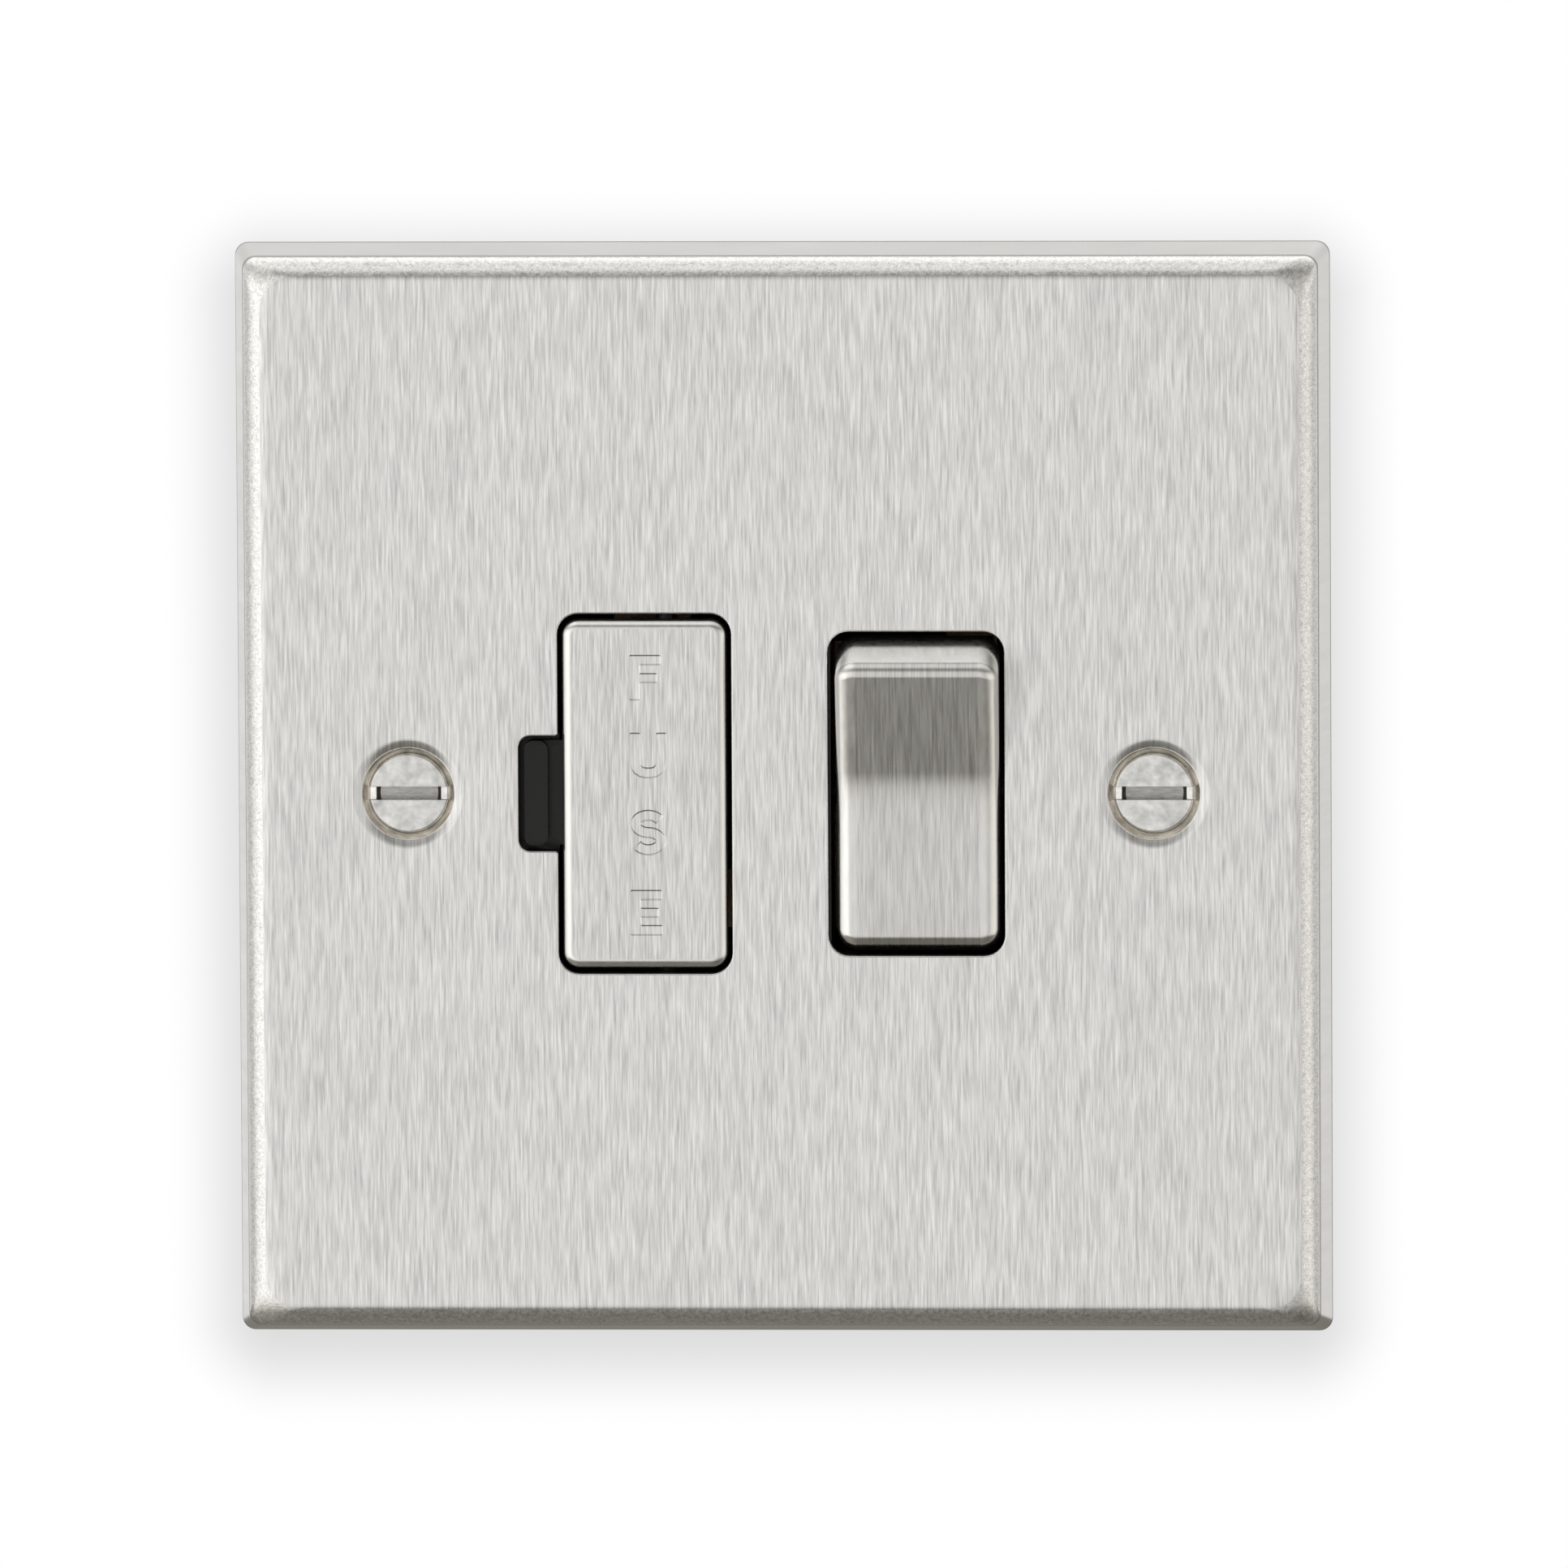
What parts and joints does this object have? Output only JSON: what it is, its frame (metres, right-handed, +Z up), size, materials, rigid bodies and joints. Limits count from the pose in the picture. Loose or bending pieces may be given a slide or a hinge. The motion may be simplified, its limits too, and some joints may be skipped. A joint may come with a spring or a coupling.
{
  "type": "switched fused connection unit",
  "caption": "One gang wall unit with a brushed metal plate, a double pole rocker switch and a swing-out cartridge fuse carrier beside it.",
  "frame": {"origin": "midway between the two fixing screws, on the wall plane at the plate's rear rim", "axes": "+Z up the wall, +X to the right of someone facing the unit, +Y into the wall"},
  "size_m": [0.0886, 0.029, 0.0886],
  "materials": {
    "brushed_plate": "vertical brushed face, satin edges",
    "brushed_cap": "vertical brushed face, satin edges",
    "screw_nickel": "bright nickel plate",
    "black_moulding": "fine satin",
    "housing_moulding": "fine satin",
    "white_nylon": "smooth",
    "spring_steel": "drawn wire",
    "fuse_ceramic": "unglazed",
    "fuse_nickel": "nickel plated",
    "contact_copper": "rolled strip",
    "contact_silver": "silver faced",
    "terminal_brass": "machined",
    "terminal_screw_steel": "zinc plated",
    "fastener_steel": "zinc plated"
  },
  "bodies": {
    "unit": {"faceplate": "brushed_plate", "fixing_screw_left": "screw_nickel", "fixing_screw_right": "screw_nickel", "front_insert": "black_moulding", "rear_housing": "housing_moulding", "contact_support_live": "contact_copper", "contact_support_neutral": "contact_copper", "load_neutral_strap": "contact_copper", "live_link": "contact_copper", "load_live_strap": "contact_copper", "fuse_contact_upper": "contact_copper", "fuse_contact_lower": "contact_copper", "earth_link": "contact_copper", "faceplate_earth_clip": "contact_copper", "fixed_contact_tip_live": "contact_silver", "fixed_contact_tip_neutral": "contact_silver", "supply_live_terminal": "terminal_brass", "supply_neutral_terminal": "terminal_brass", "supply_earth_terminal": "terminal_brass", "load_live_terminal": "terminal_brass", "load_neutral_terminal": "terminal_brass", "load_earth_terminal": "terminal_brass", "supply_live_terminal_screw": "terminal_screw_steel", "supply_neutral_terminal_screw": "terminal_screw_steel", "supply_earth_terminal_screw": "terminal_screw_steel", "load_live_terminal_screw": "terminal_screw_steel", "load_neutral_terminal_screw": "terminal_screw_steel", "load_earth_terminal_screw": "terminal_screw_steel", "stud_nuts": "fastener_steel", "housing_screws": "fastener_steel"},
    "rocker": {"rocker": "black_moulding", "rocker_cap": "brushed_cap", "plunger_spring_live": "spring_steel", "plunger_spring_neutral": "spring_steel"},
    "plunger_live": {"plunger_live": "white_nylon"},
    "plunger_neutral": {"plunger_neutral": "white_nylon"},
    "moving_contact_live": {"moving_contact_live": "contact_copper", "moving_contact_tip_live": "contact_silver"},
    "moving_contact_neutral": {"moving_contact_neutral": "contact_copper", "moving_contact_tip_neutral": "contact_silver"},
    "fuse_carrier": {"fuse_carrier": "black_moulding", "fuse_carrier_cap": "brushed_cap", "fuse_tube": "fuse_ceramic", "fuse_end_cap_upper": "fuse_nickel", "fuse_end_cap_lower": "fuse_nickel"}
  },
  "joints": [
    {"name": "rocker_pivot", "type": "hinge", "parent": "unit", "child": "rocker", "pos_m": [0.0111, -0.0015, 0], "axis": [-1, 0, 0], "range_deg": [0, 15]},
    {"name": "fuse_carrier_hinge", "type": "hinge", "parent": "unit", "child": "fuse_carrier", "pos_m": [-0.00933, -0.0036, 0], "axis": [0, 0, 1], "range_deg": [0, 75]},
    {"name": "plunger_live_slide", "type": "slide", "parent": "rocker", "child": "plunger_live", "axis": [0, -0.9914, -0.1305], "range_m": [0, 0.0008], "stiffness_N_per_m": 300, "deforming": ["plunger_spring_live"]},
    {"name": "plunger_neutral_slide", "type": "slide", "parent": "rocker", "child": "plunger_neutral", "axis": [0, -0.9914, -0.1305], "range_m": [0, 0.0008], "stiffness_N_per_m": 300, "deforming": ["plunger_spring_neutral"]},
    {"name": "moving_contact_live_pivot", "type": "hinge", "parent": "unit", "child": "moving_contact_live", "pos_m": [0.0075, 0.00945, 0], "axis": [-1, 0, 0], "range_deg": [-15, 0]},
    {"name": "moving_contact_neutral_pivot", "type": "hinge", "parent": "unit", "child": "moving_contact_neutral", "pos_m": [0.0147, 0.00945, 0], "axis": [-1, 0, 0], "range_deg": [-15, 0]}
  ],
  "couplings": [
    {"joint": "moving_contact_live_pivot", "follows": "rocker_pivot", "ratio": -1},
    {"joint": "moving_contact_neutral_pivot", "follows": "rocker_pivot", "ratio": -1}
  ]
}
